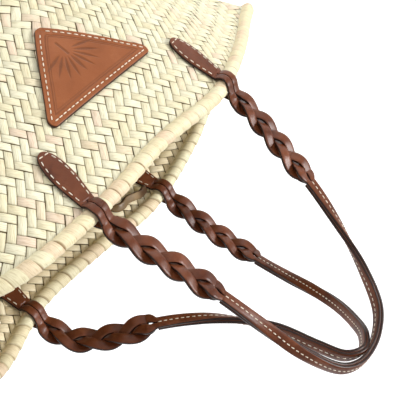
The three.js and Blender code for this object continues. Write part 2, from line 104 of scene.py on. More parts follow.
# Steps used to read a course: a share of a lap along the rim, a length along a handle
LAP_STEP = 0.004
RISE_STEP = 0.4

FRONT = np.array([0.0, -1.0, 0.0])

# Rim seen from above, one lap from the left end along the front and back along the rear:
# lap, depth as a share of half the mouth's depth, drop as a share of the rim's drop at its ends.
RIM = np.array([
    (0.0, -0.3, 1.0), (0.04, -0.37, 0.93), (0.072, -0.4, 0.81), (0.112, -0.54, 0.55),
    (0.144, -0.72, 0.32), (0.176, -0.87, 0.08), (0.202, -0.91, -0.06), (0.25, -0.92, 0.0),
    (0.298, -0.88, -0.08), (0.356, -0.84, -0.03), (0.392, -0.65, 0.25), (0.428, -0.43, 0.61),
    (0.46, -0.33, 0.85), (0.5, -0.2, 0.97), (0.54, 0.02, 0.75), (0.572, 0.25, 0.45),
    (0.608, 0.66, 0.1), (0.644, 0.96, -0.13), (0.702, 1.1, 0.22), (0.75, 1.08, 0.17),
    (0.798, 1.06, 0.06), (0.856, 0.88, 0.32), (0.892, 0.56, 0.6), (0.928, 0.17, 0.83),
    (0.96, -0.1, 0.95),
])

# Wall from the base up: height as a share of the rim's, reach from the base's outline to the rim's,
# belly as a share of the bulge.
WALL_ROWS = np.array([
    (0.0, 0.0, 0.0), (0.1, 0.09, 0.35), (0.25, 0.21, 0.75), (0.45, 0.36, 1.0),
    (0.65, 0.52, 0.95), (0.82, 0.7, 0.55), (1.0, 1.0, 0.0),
])

# Legs of the handles from the rim to the top: across as a share of half the spacing, rise as a share
# of the handle's rise, lean as the way from the rim to where the handles meet.
LEGS = {
    ("front", "left"): [(1.04, 0.0, 0.0), (0.99, 0.17, 0.08), (0.88, 0.34, 0.14), (0.79, 0.5, 0.24),
                        (0.7, 0.66, 0.44), (0.59, 0.815, 0.67), (0.43, 0.94, 0.88), (0.22, 0.988, 0.97),
                        (0.0, 1.0, 1.0)],
    ("front", "right"): [(1.0, 0.0, 0.0), (0.95, 0.17, 0.06), (0.87, 0.33, 0.12), (0.79, 0.49, 0.23),
                         (0.68, 0.65, 0.45), (0.55, 0.81, 0.68), (0.36, 0.94, 0.88), (0.18, 0.986, 0.97),
                         (0.0, 1.0, 1.0)],
    ("back", "left"): [(1.0, 0.0, 0.0), (0.99, 0.26, 0.0), (1.0, 0.39, 0.02), (0.97, 0.5, 0.08),
                       (0.89, 0.625, 0.22), (0.77, 0.74, 0.41), (0.61, 0.845, 0.61), (0.42, 0.925, 0.78),
                       (0.2, 0.98, 0.94), (0.0, 1.0, 1.0)],
    ("back", "right"): [(1.0, 0.0, 0.0), (0.96, 0.165, 0.02), (0.8, 0.28, 0.18), (0.59, 0.37, 0.37),
                        (0.45, 0.455, 0.52), (0.35, 0.545, 0.66), (0.26, 0.71, 0.87), (0.22, 0.865, 0.96),
                        (0.15, 0.962, 0.99), (0.0, 1.0, 1.0)],
}

# Leaf outline of a tab from its tip to its throat: along and width, as shares.
TAB_ROWS = np.array([
    (0.0, 0.16), (0.03, 0.42), (0.1, 0.68), (0.24, 0.9), (0.42, 1.0), (0.62, 0.97), (0.82, 0.84), (1.0, 0.72),
])

# Closing strap from the back left tab into the mouth: along, inward and below, as shares.
CLOSING_ROWS = np.array([
    (0.02, 0.13, 0.66), (0.23, 0.45, 0.6), (0.46, 0.85, 0.66), (0.65, 1.0, 0.72),
    (0.81, 1.0, 0.63), (0.94, 1.0, 0.69), (1.0, 1.0, 1.0),
])


# Shared mathematics

def unit(vectors):
    """Each vector divided by its length."""
    return vectors / np.linalg.norm(vectors, axis=-1, keepdims=True)


def smoothstep(low, high, values):
    """3s^2 - 2s^3 of the share s of the way from low to high."""
    share = np.clip((np.asarray(values, float) - low) / (high - low), 0.0, 1.0)
    return share * share * (3.0 - 2.0 * share)


def mix(a, b, share):
    """a plus the share of the way to b."""
    return a + (b - a) * share


def along(vectors, directions):
    """Dot product of each pair, kept as a last axis of one."""
    return np.sum(vectors * directions, axis=-1, keepdims=True)


def run_along(points):
    """Length along a polyline at each of its points."""
    return np.concatenate([[0.0], np.cumsum(np.linalg.norm(np.diff(points, axis=0), axis=1))])


def at_run(points, run, where):
    """Points of a polyline at the lengths asked for."""
    return np.stack([np.interp(where, run, column) for column in points.T], -1)


def read(keys, column, values, period=0.0):
    """Hermite reading of a table, whose slope at a row is that of the chord between its neighbours."""
    if period:
        keys = np.concatenate([keys[-2:] - period, keys, keys[:3] + period])
        column = np.concatenate([column[-2:], column, column[:3]])
        values = np.mod(values, period)
    rise, step = (np.diff(np.concatenate([a[:1], a, a[-1:]])) for a in (column, keys))
    slopes = (rise[1:] + rise[:-1]) / (step[1:] + step[:-1])
    row = np.clip(np.searchsorted(keys, values, side="left") - 1, 0, len(keys) - 2)
    span = keys[row + 1] - keys[row]
    t = (values - keys[row]) / span
    return ((2 * t**3 - 3 * t**2 + 1) * column[row] + (t**3 - 2 * t**2 + t) * span * slopes[row]
            + (3 * t**2 - 2 * t**3) * column[row + 1] + (t**3 - t**2) * span * slopes[row + 1])


DICE_FACTORS = (12.9898, 78.233, 37.719)


def dice(*keys):
    """A repeatable number from 0 to 1 for whole-number keys: the fraction of a large sine."""
    total = sum((np.asarray(key, float) + 17.0) * factor for key, factor in zip(keys, DICE_FACTORS))
    return np.mod(np.sin(total) * 43758.5453, 1.0)


# Basket surface

def rim_point(lap):
    """Rim: a cosine along the mouth, with depth and drop read from the rim's rows."""
    lap = np.mod(lap, 1.0)
    depth = read(RIM[:, 0], RIM[:, 1], lap, 1.0)
    drop = read(RIM[:, 0], RIM[:, 2], lap, 1.0)
    return np.stack([-MOUTH_LENGTH / 2 * np.cos(2 * np.pi * lap),
                     MOUTH_DEPTH / 2 * depth,
                     BASKET_HEIGHT - RIM_DROP * drop], -1)


def base_point(lap):
    """Base outline: a superellipse on the ground."""
    power = 2.0 / BASE_SQUARENESS
    cosine, sine = np.cos(2 * np.pi * lap), np.sin(2 * np.pi * lap)
    return np.stack([-BASE_LENGTH / 2 * np.sign(cosine) * np.abs(cosine)**power,
                     -BASE_DEPTH / 2 * np.sign(sine) * np.abs(sine)**power,
                     np.zeros_like(cosine)], -1)


def rim_course(lap):
    """Direction of the rim: the chord between two points close by."""
    return unit(rim_point(lap + LAP_STEP) - rim_point(lap - LAP_STEP))


def outward(lap):
    """Level direction out of the basket: the rim's level course turned a quarter."""
    course = rim_course(lap)
    level = np.stack([course[..., 1], -course[..., 0], np.zeros_like(course[..., 0])], -1)
    return unit(level)


def wall_point(lap, height):
    """Wall: from the base's outline to the rim by reach, plus the belly along the outward direction."""
    rim = rim_point(lap)
    reach = read(WALL_ROWS[:, 0], WALL_ROWS[:, 1], height)[..., None]
    belly = read(WALL_ROWS[:, 0], WALL_ROWS[:, 2], height) * np.abs(np.sin(2 * np.pi * lap))
    point = mix(base_point(lap), rim, reach) + outward(lap) * (BELLY * belly)[..., None]
    point[..., 2] = rim[..., 2] * height
    return point


def folded_wall(lap, height):
    """Wall with its foot: below the base's edge it turns inwards on a quarter ellipse."""
    lowest = (BASE_EDGE_RADIUS + WALL) / rim_point(lap)[..., 2]
    point = wall_point(lap, np.maximum(height, lowest))
    turn = np.clip(1.0 - height / lowest, 0.0, 1.0) * np.pi / 2
    foot = WALL / 2 + (BASE_EDGE_RADIUS + WALL / 2) * (1.0 - np.sin(turn))
    inset = BASE_EDGE_RADIUS * (1.0 - np.cos(turn))
    point = point - outward(lap) * inset[..., None]
    point[..., 2] = np.where(turn > 0, foot, point[..., 2])
    return point


def shell(lap, height, lift):
    """Folded wall moved by the lift along its normal, the cross product of its two courses."""
    lap, height, lift = np.broadcast_arrays(lap, height, lift)
    lap, height = lap.astype(float), np.clip(height.astype(float), 0.0, 1.0)
    step = 0.002
    sideways = folded_wall(lap + step, height) - folded_wall(lap - step, height)
    upward = (folded_wall(lap, np.minimum(height + step, 1.0))
              - folded_wall(lap, np.maximum(height - step, 0.0)))
    normal = unit(np.cross(sideways, upward))
    return folded_wall(lap, height) + normal * lift[..., None]


# Lap of the rim at each share of its length, so that the floats are evenly wide.
FINE_LAPS = np.linspace(0.0, 1.0, 4001)
RIM_RUN = run_along(rim_point(FINE_LAPS))


def lap_of(share):
    """Lap at a share of the rim's length from the left end."""
    return np.interp(np.mod(share, 1.0) * RIM_RUN[-1], RIM_RUN, FINE_LAPS)


def lap_at(across, is_back):
    """Lap at which the front or the back rim passes a place across the bag."""
    turn = np.arccos(np.clip(-2.0 * np.asarray(across, float) / MOUTH_LENGTH, -1.0, 1.0)) / (2 * np.pi)
    return 1.0 - turn if is_back else turn


def hang_point(lap, below):
    """Point on the wall's middle, a distance below the rim."""
    return wall_point(lap, 1.0 - below / rim_point(lap)[..., 2])


# Mesh making

# Millimetres to one unit of a piece's UV map
MAP_SCALE = 20.0


def make_piece(name, points, faces, material, slot, coordinates=None, **masks):
    """A mesh object from points in millimetres, with masks kept as one number a point."""
    mesh = bpy.data.meshes.new(name)
    mesh.from_pydata((np.asarray(points) * METRES).tolist(), [], faces)
    mesh.polygons.foreach_set("use_smooth", np.full(len(mesh.polygons), True))
    for mask, values in masks.items():
        layer = mesh.attributes.new(mask, "FLOAT", "POINT")
        layer.data.foreach_set("value", np.asarray(values, np.float32).ravel())
    if coordinates is not None:
        corners = np.empty(len(mesh.loops), np.int32)
        mesh.loops.foreach_get("vertex_index", corners)
        layer = mesh.uv_layers.new(name="UVMap")
        layer.data.foreach_set("uv", np.asarray(coordinates, np.float32)[corners].ravel())
    mesh.materials.append(material)
    mesh.update()
    piece = bpy.data.objects.new(name, mesh)
    bpy.context.collection.objects.link(piece)
    if slot:
        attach(piece, BODY)
    return piece


def grid_faces(rows, columns, close_columns=False):
    """Four-sided faces of a grid of points, whose columns may run round."""
    i = np.arange(rows - 1)[:, None]
    j = np.arange(columns if close_columns else columns - 1)[None, :]
    j2 = (j + 1) % columns
    corners = (i * columns + j, (i + 1) * columns + j, (i + 1) * columns + j2, i * columns + j2)
    return np.stack(np.broadcast_arrays(*corners), -1).reshape(-1, 4)


def copies(faces, points, count):
    """Faces of many copies of a shape, each copy's numbers moved on by the shape's points."""
    faces = np.asarray(faces)
    return (np.arange(count)[:, None, None] * points + faces[None]).reshape(-1, faces.shape[1]).tolist()


def fan(centre, ring, reverse=False):
    """Three-sided faces from a centre to each pair of neighbours in a ring."""
    after = np.roll(ring, -1)
    pair = [after, ring] if reverse else [ring, after]
    return np.stack([np.full(len(ring), centre), *pair], 1).tolist()


def closed_tube(rings, first, last):
    """Points and faces of rings joined in a row, with a fan to a point at each end."""
    rows, columns = rings.shape[:2]
    ring = np.arange(columns)
    points = np.concatenate([rings.reshape(-1, 3), [first], [last]])
    faces = grid_faces(rows, columns, close_columns=True).tolist()
    faces += fan(rows * columns, ring) + fan(rows * columns + 1, ring + (rows - 1) * columns, reverse=True)
    return points, faces


# Section of a leather strip
SECTION_TURNS = np.radians([80.0, 50.0, 20.0, -20.0, -50.0, -80.0])
SECTION_CORNER = 0.62
SECTION_CROWN = 0.1
SHOULDER = 0.55
SHOULDER_CROWN = 0.7


def bar_section(width, thickness):
    """Ring of a rounded bar: arcs at both sides, and faces that swell a little in the middle."""
    radius = np.minimum(SECTION_CORNER, width * 0.42)
    half, thick = (width / 2 - radius)[:, None], (thickness / 2)[:, None]
    crown = SECTION_CROWN * thick / thick.max()
    right_x = half + radius[:, None] * np.cos(SECTION_TURNS)
    right_z = thick * np.sin(SECTION_TURNS) / np.sin(SECTION_TURNS[0])
    middle, top = np.zeros_like(half), thick + crown
    shoulder_x, shoulder_z = half * SHOULDER, thick + crown * SHOULDER_CROWN
    x = np.concatenate([middle, shoulder_x, right_x, shoulder_x,
                        middle, -shoulder_x, -right_x[:, ::-1], -shoulder_x], 1)
    z = np.concatenate([top, shoulder_z, right_z, -shoulder_z,
                        -top, -shoulder_z, right_z[:, ::-1], shoulder_z], 1)
    rounded = np.ones_like(right_x) * smoothstep(0.3, 0.9, np.cos(SECTION_TURNS))
    side = np.concatenate([middle, middle, rounded, middle, middle, middle, rounded, middle], 1)
    return x, z, side


def strip(name, point, across, normal, width, thickness, material, slot, press=0.0):
    """A leather strip: the bar section carried along the places and closed at both ends."""
    rows = len(point)
    width, thickness, press = (np.broadcast_to(np.asarray(value, float), rows)
                               for value in (width, thickness, press))
    x, z, side = bar_section(width, thickness)
    rings = point[:, None] + across[:, None] * x[..., None] + normal[:, None] * z[..., None]
    points, faces = closed_tube(rings, point[0], point[-1])
    if np.cross(rings[1, 0] - rings[0, 0], rings[0, 1] - rings[0, 0]) @ normal[0] < 0:
        faces = [face[::-1] for face in faces]
    run, press = (np.append(np.repeat(value, x.shape[1]), value[[0, -1]])
                  for value in (run_along(point), press))
    coordinates = np.stack([run, np.append(x, [0.0, 0.0])], 1) / MAP_SCALE
    edge = np.append(side, [1.0, 1.0])
    return make_piece(name, points, faces, material, slot, coordinates, edge=edge, press=press)


STITCH_STATIONS = np.array([-0.72, 0.0, 0.72])
STITCH_SIDES = 6


def stitches(name, centre, course, normal, slot, length, radius):
    """Short threads, each a spindle: six points round at three stations, with a point at both ends."""
    course = unit(course)
    normal = unit(normal - course * along(normal, course))
    side = np.cross(course, normal)
    turns = np.arange(STITCH_SIDES) * 2 * np.pi / STITCH_SIDES
    swell = 1.0 - 0.35 * STITCH_STATIONS**2
    ring = (course[:, None, None] * (STITCH_STATIONS * length / 2)[None, :, None, None]
            + side[:, None, None] * (np.cos(turns)[None, :] * swell[:, None] * radius)[None, ..., None]
            + normal[:, None, None] * (np.sin(turns)[None, :] * swell[:, None] * radius)[None, ..., None])
    tips = np.stack([-course, course], 1) * length / 2
    body = np.concatenate([ring.reshape(len(centre), -1, 3), tips], 1) + centre[:, None]
    stations = len(STITCH_STATIONS)
    size = stations * STITCH_SIDES
    first_ring = np.arange(STITCH_SIDES)
    sides = grid_faces(stations, STITCH_SIDES, close_columns=True)[:, ::-1]
    ends = fan(size, first_ring, reverse=True) + fan(size + 1, first_ring + size - STITCH_SIDES)
    faces = copies(sides, size + 2, len(centre)) + copies(ends, size + 2, len(centre))
    make_piece(name, body.reshape(-1, 3), faces, THREAD, slot)


# Node helpers

def new_material(name):
    """An empty material with its Principled shader joined to the output."""
    material = bpy.data.materials.new(name)
    material.use_nodes = True
    tree = material.node_tree
    tree.nodes.clear()
    shader = tree.nodes.new("ShaderNodeBsdfPrincipled")
    output = tree.nodes.new("ShaderNodeOutputMaterial")
    tree.links.new(shader.outputs["BSDF"], output.inputs["Surface"])
    return material, tree, shader


def node(tree, kind, values=(), **settings):
    """A node with its settings, and its inputs given by name or number as values or as links."""
    made = tree.nodes.new("ShaderNode" + kind)
    for key, value in settings.items():
        setattr(made, key, value)
    for key, value in dict(values).items():
        if isinstance(value, bpy.types.NodeSocket):
            tree.links.new(value, made.inputs[key])
        else:
            made.inputs[key].default_value = value
    return made


def colour_mix(tree, factor, a, b, blend="MIX"):
    """Mixes two colours; each may be a colour or a link."""
    return node(tree, "Mix", {0: factor, 6: a, 7: b}, data_type="RGBA", blend_type=blend).outputs[2]


def ramp(tree, factor, stops):
    """A smooth colour ramp through the stops, each a place and a colour."""
    made = tree.nodes.new("ShaderNodeValToRGB")
    made.color_ramp.interpolation = "EASE"
    elements = made.color_ramp.elements
    while len(elements) < len(stops):
        elements.new(0.5)
    for element, (place, colour) in zip(elements, stops):
        element.position = place
        element.color = (*colour, 1.0)
    tree.links.new(factor, made.inputs["Fac"])
    return made.outputs["Color"]


def math_node(tree, operation, a, b):
    """One step of arithmetic on numbers or links."""
    return node(tree, "Math", {0: a, 1: b}, operation=operation).outputs[0]


def new_group(name, outputs):
    """A shader node group that reads coordinates and gives the named numbers."""
    group = bpy.data.node_groups.new(name, "ShaderNodeTree")
    group.interface.new_socket(name="Coordinates", in_out="INPUT", socket_type="NodeSocketVector")
    for key in outputs:
        group.interface.new_socket(name=key, in_out="OUTPUT", socket_type="NodeSocketFloat")
    given, made = (group.nodes.new("NodeGroup" + side) for side in ("Input", "Output"))
    return group, given.outputs["Coordinates"], made.inputs


def mask(tree, name):
    """A mask kept on the mesh as one number a point."""
    return node(tree, "Attribute", attribute_name=name).outputs["Fac"]


def finish_shader(tree, shader, base, height, strength, distance, values):
    """Joins a material's colour and bump to its shader and sets the shader's other inputs."""
    lumps = node(tree, "Bump", {"Height": height, "Strength": strength, "Distance": distance})
    tree.links.new(base, shader.inputs["Base Color"])
    tree.links.new(lumps.outputs["Normal"], shader.inputs["Normal"])
    for key, value in values.items():
        shader.inputs[key].default_value = value


def use_group(tree, group, coordinates):
    """A group placed in a material, reading the coordinates given."""
    made = node(tree, "Group", node_tree=group)
    tree.links.new(coordinates, made.inputs["Coordinates"])
    return made.outputs


def fibre_group():
    """Leaf fibres: a noise stretched along the leaf, as a shade for the colour and a height for the bump."""
    group, place, made = new_group("leaf_fibres", ("Shade", "Height"))
    stretched = node(group, "VectorMath", {0: place, 1: (1.2, 14.0, 1.0)},
                     operation="MULTIPLY").outputs[0]
    fine = node(group, "TexNoise", {"Vector": stretched, "Scale": 1.0, "Detail": 3.0, "Roughness": 0.6})
    coarse = node(group, "TexNoise", {"Vector": place, "Scale": 2.2, "Detail": 2.0})
    patchy = math_node(group, "MULTIPLY", coarse.outputs["Fac"], 0.6)
    group.links.new(math_node(group, "ADD", fine.outputs["Fac"], patchy), made["Height"])
    group.links.new(fine.outputs["Fac"], made["Shade"])
    return group


def grain_group():
    """Leather grain: small cells and creases for the bump, and broad cloudy wear for the colour."""
    group, place, made = new_group("leather_grain", ("Wear", "Height"))
    cells = node(group, "TexVoronoi", {"Vector": place, "Scale": 900.0}, feature="DISTANCE_TO_EDGE")
    creases, clouds = (
        node(group, "TexNoise", {"Vector": place, "Scale": scale, "Detail": detail, "Roughness": rough})
        for scale, detail, rough in ((260.0, 5.0, 0.65), (45.0, 4.0, 0.6)))
    shallow = math_node(group, "MINIMUM", cells.outputs["Distance"], 0.35)
    cell_height = math_node(group, "MULTIPLY", shallow, 1.1)
    group.links.new(math_node(group, "ADD", cell_height, creases.outputs["Fac"]), made["Height"])
    group.links.new(clouds.outputs["Fac"], made["Wear"])
    return group


FIBRES = fibre_group()
GRAIN = grain_group()


def leaf_material(name, stops, gap):
    """Dry palm leaf: a tone for each leaf, fibres along it, and painted shade in the gap colour where it
    tucks under.
    """
    material, tree, shader = new_material(name)
    coordinates = node(tree, "UVMap", uv_map="UVMap").outputs["UV"]
    fibres = use_group(tree, FIBRES, coordinates)
    base = ramp(tree, mask(tree, "tone"), stops)
    shade = ramp(tree, fibres["Shade"], [(0.32, (0.80, 0.75, 0.66)), (0.55, (1.0, 1.0, 1.0))])
    base = colour_mix(tree, 1.0, base, shade, "MULTIPLY")
    # Painted shade: mixes towards the gap colour where the leaf dives under its neighbours.
    base = colour_mix(tree, mask(tree, "tuck"), base, (*gap, 1.0))
    finish_shader(tree, shader, base, fibres["Height"], 0.35, 0.0006,
                  {"Roughness": 0.52, "Specular IOR Level": 0.4})
    return material


def leather_material(name, dark, middle, light, edge_colour, rough, coat):
    """Waxed leather: cloudy wear between three browns, a fine grain, dark painted edges, and painted shade
    towards the edge colour where a mask asks for it.
    """
    material, tree, shader = new_material(name)
    place = node(tree, "TexCoord").outputs["Object"]
    grain = use_group(tree, GRAIN, place)
    base = ramp(tree, grain["Wear"], [(0.3, dark), (0.5, middle), (0.72, light)])
    fade = ramp(tree, mask(tree, "edge"), [(0.35, (0, 0, 0)), (0.75, (1, 1, 1))])
    base = colour_mix(tree, fade, base, (*edge_colour, 1.0))
    # Painted shade: darker towards the edge colour in embossed lines and wherever else the mask is set.
    pressed = math_node(tree, "MULTIPLY", mask(tree, "press"), 0.4)
    base = colour_mix(tree, pressed, base, (*edge_colour, 1.0))
    finish_shader(tree, shader, base, grain["Height"], 0.25, 0.0004, {
        "Roughness": rough, "Specular IOR Level": 0.24, "Coat Weight": coat, "Coat Roughness": 0.25})
    return material


def thread_material():
    """Waxed cream thread with a faint twist."""
    material, tree, shader = new_material("cream_thread")
    place = node(tree, "TexCoord").outputs["Object"]
    noise = node(tree, "TexNoise", {"Vector": place, "Scale": 900.0, "Detail": 2.0})
    base = ramp(tree, noise.outputs["Fac"], [(0.3, (0.62, 0.52, 0.38)), (0.65, (0.9, 0.84, 0.7))])
    finish_shader(tree, shader, base, noise.outputs["Fac"], 0.3, 0.0003, {"Roughness": 0.6})
    return material


CREAM, BUFF, TAN, OLIVE = (0.83, 0.80, 0.60), (0.80, 0.74, 0.51), (0.80, 0.65, 0.50), (0.60, 0.57, 0.31)
OUTSIDE_LEAF = leaf_material(
    "outside_leaf", [(0.0, CREAM), (0.5, BUFF), (0.82, TAN), (1.0, OLIVE)], (0.2, 0.14, 0.05))
# The inside's leaf colours are lighter than the outside's: painted light that lifts the inside out of its
# shade.
INSIDE_LEAF = leaf_material(
    "inside_leaf", [(0.0, (0.95, 0.86, 0.62)), (0.5, (0.92, 0.8, 0.55)), (1.0, (0.76, 0.66, 0.4))],
    (0.2, 0.14, 0.05))
RIM_LEAF = leaf_material(
    "rim_leaf", [(0.0, (0.80, 0.75, 0.52)), (0.5, (0.78, 0.69, 0.45)), (1.0, (0.77, 0.6, 0.42))],
    (0.24, 0.14, 0.05))
# The core's dark browns are painted shade, seen through the gaps of the plait.
CORE_PAINTED_SHADE = leaf_material(
    "core_painted_shade", [(0.0, (0.1, 0.065, 0.02)), (1.0, (0.15, 0.1, 0.035))], (0.08, 0.05, 0.02))
HANDLE_LEATHER = leather_material(
    "handle_leather", (0.07, 0.016, 0.005), (0.118, 0.031, 0.01), (0.175, 0.052, 0.021),
    (0.018, 0.005, 0.002), rough=0.36, coat=0.1)
PATCH_LEATHER = leather_material(
    "patch_leather", (0.225, 0.063, 0.015), (0.255, 0.074, 0.02), (0.285, 0.088, 0.027),
    (0.045, 0.015, 0.007), rough=0.46, coat=0.06)
# Tan leather whose olive cast is painted shade and a painted greenish reflection of the straw.
CLOSING_LEATHER = leather_material(
    "closing_leather", (0.12, 0.07, 0.028), (0.17, 0.105, 0.045), (0.25, 0.165, 0.08),
    (0.045, 0.018, 0.008), rough=0.38, coat=0.15)
THREAD = thread_material()


# Basket: core, plait and rolled rim

CORE_COLUMNS = 240
CORE_LEVELS = 40
CORE_UNDER_ROLL = 0.7


def basket_core():
    """Dark layer between the two faces of the plait: a closed shell from the foot to just under the roll,
    whose dark brown is painted shade for the gaps between the floats.
    """
    laps = lap_of(np.arange(CORE_COLUMNS) / CORE_COLUMNS)
    levels = np.linspace(0.0, 1.0 - ROLL_RADIUS * CORE_UNDER_ROLL / BASKET_HEIGHT, CORE_LEVELS)
    outer = shell(laps[None, :], levels[:, None], CORE_HALF)
    inner = shell(laps[None, :], levels[::-1, None], -CORE_HALF)
    points, faces = closed_tube(np.concatenate([outer, inner]),
                                (0, 0, WALL / 2 - CORE_HALF), (0, 0, WALL / 2 + CORE_HALF))
    faces = [face[::-1] for face in faces]
    tone = dice(np.arange(len(points)))
    core = make_piece("basket_core", points, faces, CORE_PAINTED_SHADE, "palm_leaf",
                      coordinates=points[:, [0, 2]] / MAP_SCALE, tone=tone, tuck=np.zeros(len(points)))
    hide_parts("basket_body")


FLOAT_ALONG = np.array([-1.07, -0.9, 0.0, 0.9, 1.07])
FLOAT_ALONG_LIFT = np.array([-0.6, 0.72, 1.0, 0.72, -0.6])
FLOAT_ACROSS = np.array([-0.96, -0.84, 0.84, 0.96])
FLOAT_ACROSS_LIFT = np.array([-0.4, 0.0, 0.0, -0.4])


def plait(name, column, row, lean, strand, place, lift, material):
    """Floats of the plait: small domed sheets at forty-five degrees, whose ends dive under their neighbours.

    A float's long half runs half a column and half a wale, its wide half a quarter of each. place turns
    pattern coordinates and a lift into points."""
    chance = dice(column, row, 3.0)
    a = FLOAT_ALONG[None, :, None]
    b = FLOAT_ACROSS[None, None, :] * (0.95 + 0.08 * dice(column, row, 5.0))[:, None, None]
    slide = (0.06 * (dice(column, row, 8.0) - 0.5))[:, None, None]
    lean = lean[:, None, None]
    x = column[:, None, None] + lean * 0.5 * a + 0.25 * b + slide
    y = row[:, None, None] + 0.5 * a - 0.25 * lean * b
    tilt = (0.35 * (dice(column, row, 11.0) - 0.5))[:, None, None]
    height = (FLOAT_ALONG_LIFT[None, :, None] * (0.85 + 0.3 * chance)[:, None, None]
              + FLOAT_ACROSS_LIFT[None, None, :] + tilt * b)
    points = place(x, y, CORE_HALF + lift * height if lift > 0 else -CORE_HALF + lift * height)
    sheet = grid_faces(len(FLOAT_ALONG), len(FLOAT_ACROSS))
    sheet = sheet if lift > 0 else sheet[:, ::-1]
    faces = copies(sheet, len(FLOAT_ALONG) * len(FLOAT_ACROSS), len(column))
    tone = np.clip(0.62 * dice(strand, lean.ravel() + 2.0)**1.6 + 0.5 * (chance - 0.35), 0.0, 1.0)
    tone = np.broadcast_to(tone[:, None, None], x.shape)
    # Painted shade: darker towards the float's ends, where it dives under its neighbours, and along its
    # sides.
    ends = smoothstep(0.88, 1.07, np.abs(a))
    sides = smoothstep(0.78, 1.0, np.abs(b))
    tuck = np.clip(0.95 * ends + 0.4 * sides, 0.0, 0.95)
    u = strand[:, None, None] * 3.7 + a * 0.7 + column[:, None, None] * 0.31
    v = strand[:, None, None] * 1.3 + b * 0.35
    coordinates = np.stack(np.broadcast_arrays(u, v), -1).reshape(-1, 2)
    make_piece(name, points.reshape(-1, 3), faces, material, "palm_leaf",
               coordinates=coordinates, tone=tone, tuck=np.broadcast_to(tuck, x.shape))


def pattern_cells(columns, rows):
    """Column, row, lean and strand number of each float: odd wales lean the other way, half a column on."""
    row, column = np.meshgrid(rows, columns, indexing="ij")
    row, column = row.ravel().astype(float), column.ravel().astype(float)
    odd = np.mod(row, 2)
    lean = np.where(odd == 0, 1.0, -1.0)
    strand = np.where(odd == 0, column - row, column + row + 1)
    return column + 0.5 * odd, row, lean, strand


def wall_plait():
    """Both faces of the wall: columns are shares of the rim's length, rows shares of the wall's height."""
    column, row, lean, strand = pattern_cells(np.arange(FLOATS_AROUND), np.arange(WALES))
    strand = np.mod(strand, FLOATS_AROUND)

    def place(x, y, height):
        return shell(lap_of(x / FLOATS_AROUND), (y + 0.5) / WALES, height)

    plait("plait_outside", column, row, lean, strand, place, LEAF_LIFT, OUTSIDE_LEAF)
    plait("plait_inside", column, row, -lean, strand, place, -LEAF_LIFT, INSIDE_LEAF)


BASE_PITCH = 10.0
BASE_MARGIN = 2.0


def base_plait():
    """Both faces of the base, on a level grid inside its outline."""
    half_x = BASE_LENGTH / 2 - BASE_EDGE_RADIUS - BASE_MARGIN
    half_y = BASE_DEPTH / 2 - BASE_EDGE_RADIUS - BASE_MARGIN
    column, row, lean, strand = pattern_cells(np.arange(-18, 19), np.arange(-8, 9))
    inside = (np.abs(column * BASE_PITCH / half_x)**BASE_SQUARENESS
              + np.abs(row * BASE_PITCH / half_y)**BASE_SQUARENESS) < 1
    column, row, lean, strand = (values[inside] for values in (column, row, lean, strand))

    def place(x, y, height):
        x, y, height = np.broadcast_arrays(x, y, height)
        return np.stack([-x * BASE_PITCH, y * BASE_PITCH, WALL / 2 - height], -1)

    plait("plait_underside", column, row, -lean, strand, place, LEAF_LIFT * 0.8, OUTSIDE_LEAF)
    plait("plait_floor", column, row, lean, strand, place, -LEAF_LIFT, INSIDE_LEAF)


def rim_frame(lap):
    """The rim's outward side and its top, square to its course."""
    side = outward(lap)
    return side, unit(np.cross(side, rim_course(lap)))


# A wrap from its raised edge to where it dives under the next: share of the pitch, lift and painted shade.
WRAP_ROWS = np.array([
    (-0.08, -1.2, 0.6), (0.0, 0.1, 0.2), (0.08, 0.25, 0.0), (0.5, 0.0, 0.0), (0.9, -0.35, 0.05),
    (1.0, -0.6, 0.85), (1.15, -1.0, 0.95),
])
WRAP_TURN_STEPS = 30


def rim_wraps():
    """Rolled rim: ribbons wound once round the tube as a screw, each over the trailing edge of the last.

    A ribbon's place along the rim is its number plus its row's share less its turn; its radius is the
    roll's plus the row's lift. Each turn starts and ends on the underside."""
    number, turn, row = np.meshgrid(np.arange(WRAPS), np.arange(WRAP_TURN_STEPS + 1) / WRAP_TURN_STEPS,
                                    np.arange(len(WRAP_ROWS)), indexing="ij")
    part, lift, shade = (WRAP_ROWS[row, k] for k in range(3))
    slant = 0.25 * (dice(number, 6.0) - 0.5) * np.sin(2 * np.pi * turn + 6.0 * dice(number, 7.0))
    lap = lap_of((number + part - WRAP_STARTS * turn + slant) / WRAPS)
    side, top = rim_frame(lap)
    radius = ROLL_RADIUS + lift + 0.3 * (dice(number, 4.0) - 0.5)
    angle = 2 * np.pi * (turn - 0.25)
    points = (rim_point(lap) + side * (radius * np.cos(angle))[..., None]
              + top * (radius * np.sin(angle))[..., None])
    tone = np.clip(0.1 + 0.8 * dice(number, 9.0)**1.3, 0.0, 1.0)
    coordinates = np.stack([turn * 3.8 + number * 1.7, part * 1.1 + number * 0.77], -1)
    ribbon = grid_faces(WRAP_TURN_STEPS + 1, len(WRAP_ROWS))
    faces = copies(ribbon, (WRAP_TURN_STEPS + 1) * len(WRAP_ROWS), WRAPS)
    roll = make_piece("rim_wraps", points.reshape(-1, 3), faces, RIM_LEAF, "rim_leaf",
                      coordinates=coordinates.reshape(-1, 2), tone=tone, tuck=shade)
    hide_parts("rim_roll")


# Handles

